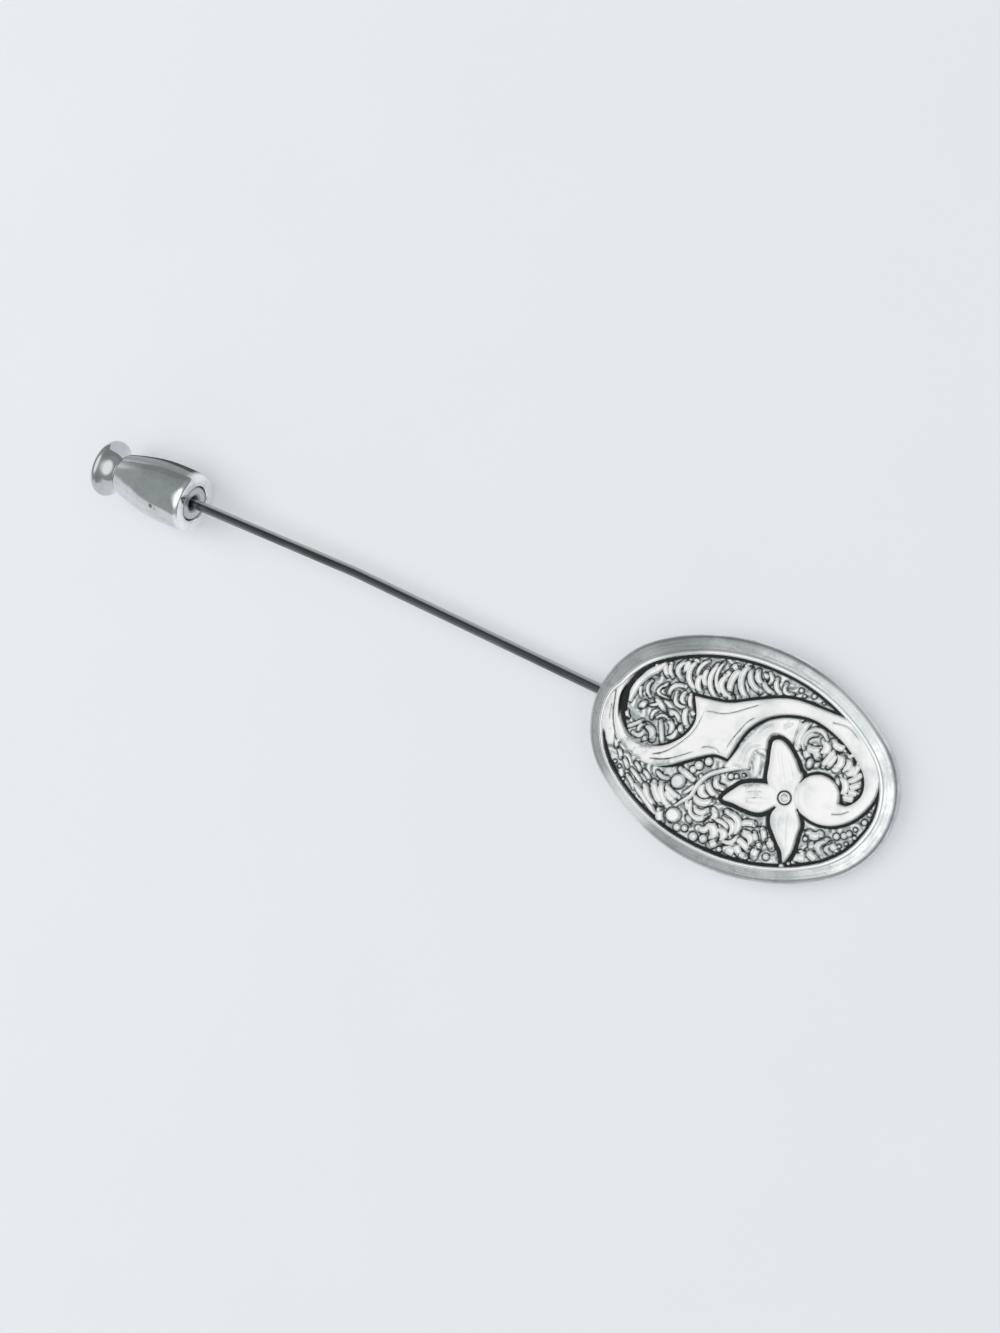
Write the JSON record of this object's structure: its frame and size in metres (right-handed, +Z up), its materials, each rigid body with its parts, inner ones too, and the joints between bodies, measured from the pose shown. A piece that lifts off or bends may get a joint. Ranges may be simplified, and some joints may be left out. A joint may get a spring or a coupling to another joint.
{
  "type": "stick pin",
  "caption": "Oval ornamental head on a straight pointed wire, with a pull-off barrel clutch and flared release knob.",
  "frame": {"origin": "middle of the overall box on the surface that the pin lies on", "axes": "+X along the pin from clutch to head, +Y across the head, +Z up"},
  "size_m": [0.0798, 0.0182, 0.0058],
  "materials": {
    "oxidised_silver": "oxidised silver, dark in the sunk floor and worn bright on the raised scrolls; the wire is satin steel",
    "plated_clutch": "bright nickel plate",
    "plated_insert": "satin nickel"
  },
  "bodies": {
    "pin": {"head_and_wire": "oxidised_silver"},
    "clutch": {"clutch_barrel": "plated_clutch", "clutch_insert": "plated_insert"},
    "knob": {"clutch_knob": "plated_clutch"}
  },
  "joints": [
    {"name": "clutch_pull_off", "type": "slide", "parent": "pin", "child": "clutch", "axis": [-0.9987, -0.0384, 0.034], "range_m": [0, 0.02]},
    {"name": "knob_pull", "type": "slide", "parent": "clutch", "child": "knob", "axis": [-0.9987, -0.0384, 0.034], "range_m": [0, 0.0012]}
  ]
}
